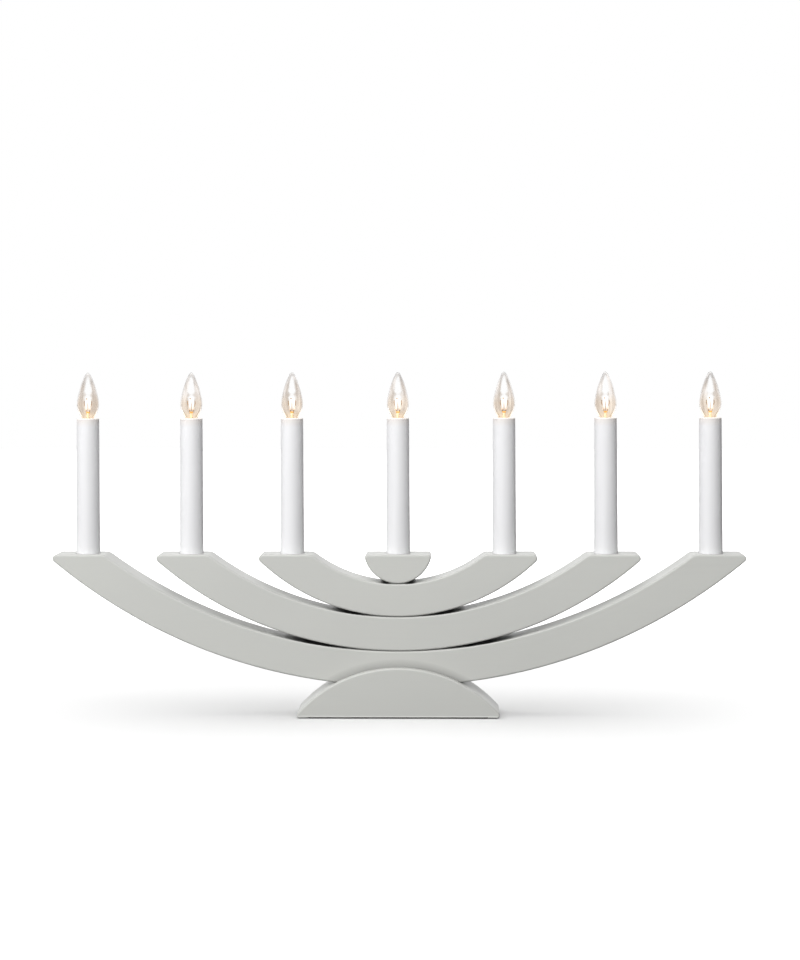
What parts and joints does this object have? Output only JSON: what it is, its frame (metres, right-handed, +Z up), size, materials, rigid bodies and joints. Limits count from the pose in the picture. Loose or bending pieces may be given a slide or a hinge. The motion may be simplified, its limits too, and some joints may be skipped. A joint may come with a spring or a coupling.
{
  "type": "electric candlestick",
  "caption": "Electric candlestick: nested crescent arcs of painted wood on a slotted half-moon foot carry white candle sleeves with clear flame-shaped screw bulbs.",
  "frame": {"origin": "middle of the felt pad's underside, on the surface that the candlestick stands on", "axes": "+X along the width, to the right seen from the front; +Y to the back; +Z up"},
  "size_m": [0.501, 0.04, 0.2486],
  "materials": {
    "painted_wood": "light grey satin paint",
    "beech": "bare beech",
    "felt": "dark grey felt",
    "zinc_steel": "zinc plated",
    "candle_plastic": "white satin plastic",
    "holder_plastic": "ivory moulded plastic",
    "brass": "bright brass",
    "nickel": "nickel plated",
    "solder": "tinned",
    "glass": "clear",
    "filament": "warm glowing filament on its glass stem"
  },
  "bodies": {
    "stand": {"foot": "painted_wood", "lower_arc": "painted_wood", "middle_arc": "painted_wood", "upper_arc": "painted_wood", "centre_cup": "painted_wood", "felt_pad": "felt", "foot_screw_left": "zinc_steel", "foot_screw_right": "zinc_steel", "dowel_lower": "beech", "dowel_middle": "beech", "dowel_upper": "beech", "candle_tube_1": "candle_plastic", "lamp_holder_1": "holder_plastic", "socket_shell_1": "brass", "candle_tube_2": "candle_plastic", "lamp_holder_2": "holder_plastic", "socket_shell_2": "brass", "candle_tube_3": "candle_plastic", "lamp_holder_3": "holder_plastic", "socket_shell_3": "brass", "candle_tube_4": "candle_plastic", "lamp_holder_4": "holder_plastic", "socket_shell_4": "brass", "candle_tube_5": "candle_plastic", "lamp_holder_5": "holder_plastic", "socket_shell_5": "brass", "candle_tube_6": "candle_plastic", "lamp_holder_6": "holder_plastic", "socket_shell_6": "brass", "candle_tube_7": "candle_plastic", "lamp_holder_7": "holder_plastic", "socket_shell_7": "brass"},
    "bulb_1_lift": {"bulb_contact_1": "solder"},
    "bulb_1": {"bulb_glass_1": "glass", "bulb_cap_1": "nickel", "bulb_filament_1": "filament"},
    "bulb_2_lift": {"bulb_contact_2": "solder"},
    "bulb_2": {"bulb_glass_2": "glass", "bulb_cap_2": "nickel", "bulb_filament_2": "filament"},
    "bulb_3_lift": {"bulb_contact_3": "solder"},
    "bulb_3": {"bulb_glass_3": "glass", "bulb_cap_3": "nickel", "bulb_filament_3": "filament"},
    "bulb_4_lift": {"bulb_contact_4": "solder"},
    "bulb_4": {"bulb_glass_4": "glass", "bulb_cap_4": "nickel", "bulb_filament_4": "filament"},
    "bulb_5_lift": {"bulb_contact_5": "solder"},
    "bulb_5": {"bulb_glass_5": "glass", "bulb_cap_5": "nickel", "bulb_filament_5": "filament"},
    "bulb_6_lift": {"bulb_contact_6": "solder"},
    "bulb_6": {"bulb_glass_6": "glass", "bulb_cap_6": "nickel", "bulb_filament_6": "filament"},
    "bulb_7_lift": {"bulb_contact_7": "solder"},
    "bulb_7": {"bulb_glass_7": "glass", "bulb_cap_7": "nickel", "bulb_filament_7": "filament"}
  },
  "joints": [
    {"name": "bulb_1_rise", "type": "slide", "parent": "stand", "child": "bulb_1_lift", "axis": [0, 0, 1], "range_m": [0, 0.00726]},
    {"name": "bulb_1_turn", "type": "hinge", "parent": "bulb_1_lift", "child": "bulb_1", "pos_m": [-0.2266, 0, 0.2154], "axis": [0, 0, 1], "range_deg": [0, 1440]},
    {"name": "bulb_2_rise", "type": "slide", "parent": "stand", "child": "bulb_2_lift", "axis": [0, 0, 1], "range_m": [0, 0.00726]},
    {"name": "bulb_2_turn", "type": "hinge", "parent": "bulb_2_lift", "child": "bulb_2", "pos_m": [-0.1508, 0, 0.2154], "axis": [0, 0, 1], "range_deg": [0, 1440]},
    {"name": "bulb_3_rise", "type": "slide", "parent": "stand", "child": "bulb_3_lift", "axis": [0, 0, 1], "range_m": [0, 0.00726]},
    {"name": "bulb_3_turn", "type": "hinge", "parent": "bulb_3_lift", "child": "bulb_3", "pos_m": [-0.0772, 0, 0.2154], "axis": [0, 0, 1], "range_deg": [0, 1440]},
    {"name": "bulb_4_rise", "type": "slide", "parent": "stand", "child": "bulb_4_lift", "axis": [0, 0, 1], "range_m": [0, 0.00726]},
    {"name": "bulb_4_turn", "type": "hinge", "parent": "bulb_4_lift", "child": "bulb_4", "pos_m": [0, 0, 0.2154], "axis": [0, 0, 1], "range_deg": [0, 1440]},
    {"name": "bulb_5_rise", "type": "slide", "parent": "stand", "child": "bulb_5_lift", "axis": [0, 0, 1], "range_m": [0, 0.00726]},
    {"name": "bulb_5_turn", "type": "hinge", "parent": "bulb_5_lift", "child": "bulb_5", "pos_m": [0.0772, 0, 0.2154], "axis": [0, 0, 1], "range_deg": [0, 1440]},
    {"name": "bulb_6_rise", "type": "slide", "parent": "stand", "child": "bulb_6_lift", "axis": [0, 0, 1], "range_m": [0, 0.00726]},
    {"name": "bulb_6_turn", "type": "hinge", "parent": "bulb_6_lift", "child": "bulb_6", "pos_m": [0.1508, 0, 0.2154], "axis": [0, 0, 1], "range_deg": [0, 1440]},
    {"name": "bulb_7_rise", "type": "slide", "parent": "stand", "child": "bulb_7_lift", "axis": [0, 0, 1], "range_m": [0, 0.00726]},
    {"name": "bulb_7_turn", "type": "hinge", "parent": "bulb_7_lift", "child": "bulb_7", "pos_m": [0.2266, 0, 0.2154], "axis": [0, 0, 1], "range_deg": [0, 1440]}
  ],
  "couplings": [
    {"joint": "bulb_1_rise", "follows": "bulb_1_turn", "m_per_rad": 0.00028871},
    {"joint": "bulb_2_rise", "follows": "bulb_2_turn", "m_per_rad": 0.00028871},
    {"joint": "bulb_3_rise", "follows": "bulb_3_turn", "m_per_rad": 0.00028871},
    {"joint": "bulb_4_rise", "follows": "bulb_4_turn", "m_per_rad": 0.00028871},
    {"joint": "bulb_5_rise", "follows": "bulb_5_turn", "m_per_rad": 0.00028871},
    {"joint": "bulb_6_rise", "follows": "bulb_6_turn", "m_per_rad": 0.00028871},
    {"joint": "bulb_7_rise", "follows": "bulb_7_turn", "m_per_rad": 0.00028871}
  ]
}
